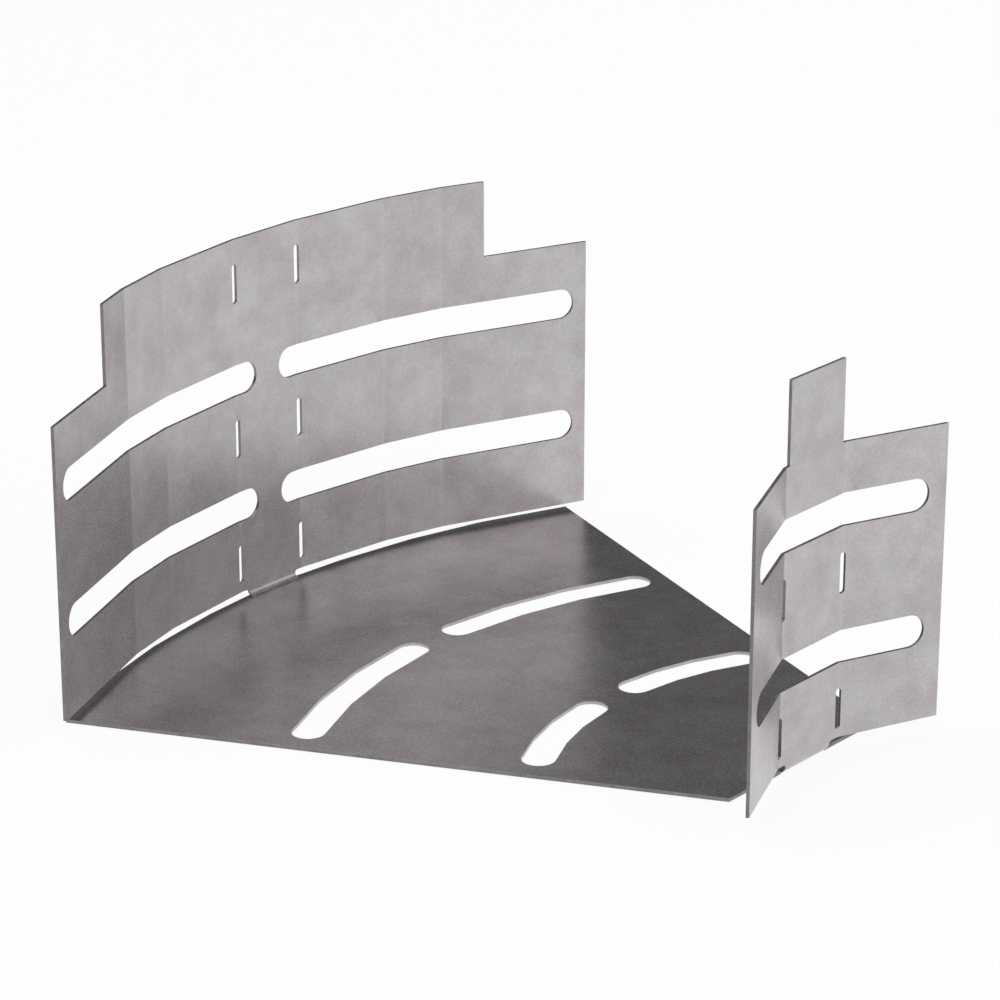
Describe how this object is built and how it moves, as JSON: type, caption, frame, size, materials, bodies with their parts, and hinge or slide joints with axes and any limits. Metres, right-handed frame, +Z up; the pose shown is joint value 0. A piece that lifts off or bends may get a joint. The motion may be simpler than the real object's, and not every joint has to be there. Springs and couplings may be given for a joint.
{
  "type": "cable tray bend",
  "caption": "Horizontal bend for a perforated cable tray, folded from one sheet: a wedge-shaped floor between two faceted upright walls, with long slots for joint bolts.",
  "frame": {"origin": "on the underside of the floor, on the line that halves the bend, midway between the two walls", "axes": "+X along the middle facets of the walls, +Y away from the centre of the bend towards the outer wall, +Z up"},
  "size_m": [0.1726, 0.1602, 0.0852],
  "materials": {
    "zinc_sheet": "bare zinc-coated steel sheet, matt grey with a faint fine spangle"
  },
  "bodies": {
    "root": {"tray_bend": "zinc_sheet"}
  },
  "joints": []
}
